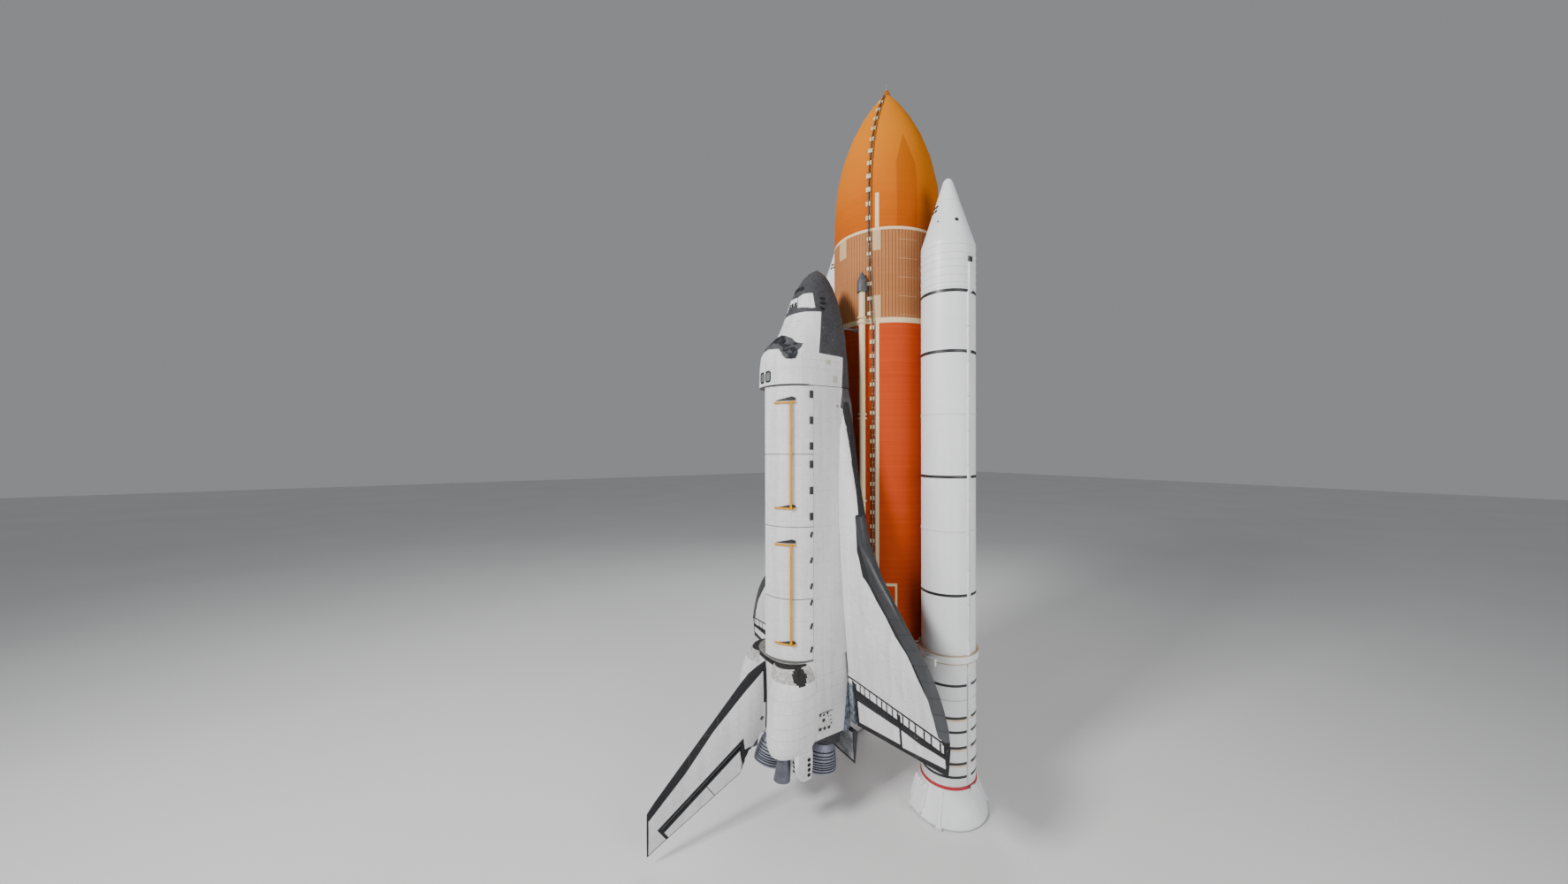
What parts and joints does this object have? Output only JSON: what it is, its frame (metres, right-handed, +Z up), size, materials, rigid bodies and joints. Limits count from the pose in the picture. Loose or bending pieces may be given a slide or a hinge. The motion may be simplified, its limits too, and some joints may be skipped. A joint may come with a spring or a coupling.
{
  "type": "space shuttle launch stack, 1:2 scale model",
  "caption": "Winged space shuttle orbiter mounted on an orange external tank between white solid rocket boosters, standing upright on the booster skirts.",
  "frame": {"origin": "centre of the stack's footprint box, on the floor under the booster skirts", "axes": "+Z up along the stack towards the noses, +X to the orbiter's starboard side, -Y towards the orbiter's back and fin, +Y towards the tank"},
  "size_m": [11.8334, 11.6878, 27.319],
  "materials": {
    "white_tile": "matt tile",
    "white_blanket": "quilted blanket",
    "black_tile": "matt black tile",
    "carbon": "grey carbon",
    "dark_glass": "dark glass",
    "bell_metal": "heat stained metal",
    "yellow_steel": "yellow paint",
    "orange_foam": "sprayed foam",
    "amber_foam": "sprayed foam",
    "tan_foam": "ribbed sprayed foam",
    "cream_foam": "pale foam",
    "white_paint": "white gloss paint",
    "grey_metal": "grey paint",
    "cabin_grey": "satin grey"
  },
  "bodies": {
    "vehicle": {"forward_fuselage": "white_tile", "nose_cap": "carbon", "forward_thruster_module": "white_blanket", "windshield": "dark_glass", "overhead_window_starboard": "dark_glass", "overhead_window_port": "dark_glass", "flight_deck": "cabin_grey", "mid_fuselage": "white_tile", "aft_fuselage": "white_tile", "manoeuvring_pod_starboard": "white_blanket", "manoeuvring_pod_port": "white_blanket", "pod_nozzle_starboard": "bell_metal", "pod_nozzle_port": "bell_metal", "wing_starboard": "white_tile", "wing_port": "white_tile", "wing_leading_edge_starboard": "carbon", "wing_leading_edge_port": "carbon", "vertical_fin": "white_tile", "booster_nose_port": "white_paint", "booster_forward_skirt_port": "white_paint", "booster_case_port": "white_paint", "booster_attach_ring_port": "white_paint", "booster_aft_skirt_port": "white_paint", "booster_nose_starboard": "white_paint", "booster_forward_skirt_starboard": "white_paint", "booster_case_starboard": "white_paint", "booster_attach_ring_starboard": "white_paint", "booster_aft_skirt_starboard": "white_paint", "tank_nose_cone": "grey_metal", "oxygen_tank": "amber_foam", "intertank": "tan_foam", "hydrogen_tank": "orange_foam", "cable_tray": "cream_foam", "oxygen_feed_line": "cream_foam", "forward_bipod": "grey_metal", "aft_beam": "cream_foam", "oxygen_umbilical": "cream_foam", "hydrogen_umbilical": "cream_foam"},
    "payload_door_starboard_body": {"payload_door_starboard": "white_blanket", "door_beam_forward_starboard": "yellow_steel", "door_beam_aft_starboard": "yellow_steel"},
    "payload_door_port_body": {"payload_door_port": "white_blanket", "door_beam_forward_port": "yellow_steel", "door_beam_aft_port": "yellow_steel"},
    "crew_hatch_body": {"crew_hatch": "white_tile"},
    "rudder_body": {"rudder_spindle": "black_tile"},
    "elevon_inboard_starboard_body": {"elevon_inboard_starboard": "white_tile"},
    "elevon_inboard_port_body": {"elevon_inboard_port": "white_tile"},
    "elevon_outboard_starboard_body": {"elevon_outboard_starboard": "white_tile"},
    "elevon_outboard_port_body": {"elevon_outboard_port": "white_tile"},
    "body_flap_body": {"body_flap": "black_tile"},
    "rudder_panel_starboard_body": {"rudder_panel_starboard": "white_tile"},
    "rudder_panel_port_body": {"rudder_panel_port": "white_tile"},
    "main_engine_upper_body": {"main_engine_upper": "bell_metal"},
    "main_engine_port_body": {"main_engine_port": "bell_metal"},
    "main_engine_starboard_body": {"main_engine_starboard": "bell_metal"},
    "booster_nozzle_port_body": {"booster_nozzle_port": "grey_metal"},
    "booster_nozzle_starboard_body": {"booster_nozzle_starboard": "grey_metal"}
  },
  "joints": [
    {"name": "payload_door_starboard_hinge", "type": "hinge", "parent": "vehicle", "child": "payload_door_starboard_body", "pos_m": [1.33731, -0.74485, 10.00252], "axis": [0, 0, 1], "range_deg": [0, 175.5]},
    {"name": "payload_door_port_hinge", "type": "hinge", "parent": "vehicle", "child": "payload_door_port_body", "pos_m": [-1.33731, -0.74485, 10.00252], "axis": [0, 0, -1], "range_deg": [-175.5, 0]},
    {"name": "crew_hatch_hinge", "type": "hinge", "parent": "vehicle", "child": "crew_hatch_body", "pos_m": [-1.24714, 0.24447, 15.81912], "axis": [0, 0, -1], "range_deg": [0, 90]},
    {"name": "elevon_inboard_starboard_hinge", "type": "hinge", "parent": "vehicle", "child": "elevon_inboard_starboard_body", "pos_m": [2.794, 0.83142, 4.38912], "axis": [-0.998, 0.0635, 0], "range_deg": [-25, 40]},
    {"name": "elevon_inboard_port_hinge", "type": "hinge", "parent": "vehicle", "child": "elevon_inboard_port_body", "pos_m": [-2.794, 0.83142, 4.38912], "axis": [-0.998, -0.0635, 0], "range_deg": [-25, 40]},
    {"name": "elevon_outboard_starboard_hinge", "type": "hinge", "parent": "vehicle", "child": "elevon_outboard_starboard_body", "pos_m": [4.8895, 0.69813, 4.38912], "axis": [-0.998, 0.0635, 0], "range_deg": [-25, 40]},
    {"name": "elevon_outboard_port_hinge", "type": "hinge", "parent": "vehicle", "child": "elevon_outboard_port_body", "pos_m": [-4.8895, 0.69813, 4.38912], "axis": [-0.998, -0.0635, 0], "range_deg": [-25, 40]},
    {"name": "body_flap_hinge", "type": "hinge", "parent": "vehicle", "child": "body_flap_body", "pos_m": [0, 0.8744, 2.54127], "axis": [-1, 0, 0], "range_deg": [-11.7, 22.5]},
    {"name": "rudder_hinge", "type": "hinge", "parent": "vehicle", "child": "rudder_body", "pos_m": [0, -4.1294, 1.82372], "axis": [0, -0.8333, -0.5528], "range_deg": [-27, 27]},
    {"name": "brake_panel_starboard_hinge", "type": "hinge", "parent": "rudder_body", "child": "rudder_panel_starboard_body", "pos_m": [0, -4.1294, 1.82372], "axis": [0, -0.8333, -0.5528], "range_deg": [0, 49.3]},
    {"name": "brake_panel_port_hinge", "type": "hinge", "parent": "rudder_body", "child": "rudder_panel_port_body", "pos_m": [0, -4.1294, 1.82372], "axis": [0, 0.8333, 0.5528], "range_deg": [0, 49.3]},
    {"name": "main_engine_upper_gimbal", "type": "hinge", "parent": "vehicle", "child": "main_engine_upper_body", "pos_m": [0, -1.1068, 3.65252], "axis": [-1, 0, 0], "range_deg": [-10.5, 10.5]},
    {"name": "main_engine_port_gimbal", "type": "hinge", "parent": "vehicle", "child": "main_engine_port_body", "pos_m": [-0.6731, 0.16827, 3.35788], "axis": [-1, 0, 0], "range_deg": [-10.5, 10.5]},
    {"name": "main_engine_starboard_gimbal", "type": "hinge", "parent": "vehicle", "child": "main_engine_starboard_body", "pos_m": [0.6731, 0.16827, 3.35788], "axis": [-1, 0, 0], "range_deg": [-10.5, 10.5]},
    {"name": "booster_nozzle_port_gimbal", "type": "hinge", "parent": "vehicle", "child": "booster_nozzle_port_body", "pos_m": [-3.18135, 3.71285, 1.02362], "axis": [-1, 0, 0], "range_deg": [-5, 5]},
    {"name": "booster_nozzle_starboard_gimbal", "type": "hinge", "parent": "vehicle", "child": "booster_nozzle_starboard_body", "pos_m": [3.18135, 3.71285, 1.02362], "axis": [-1, 0, 0], "range_deg": [-5, 5]}
  ],
  "couplings": [
    {"joint": "brake_panel_port_hinge", "follows": "brake_panel_starboard_hinge", "ratio": 1}
  ]
}
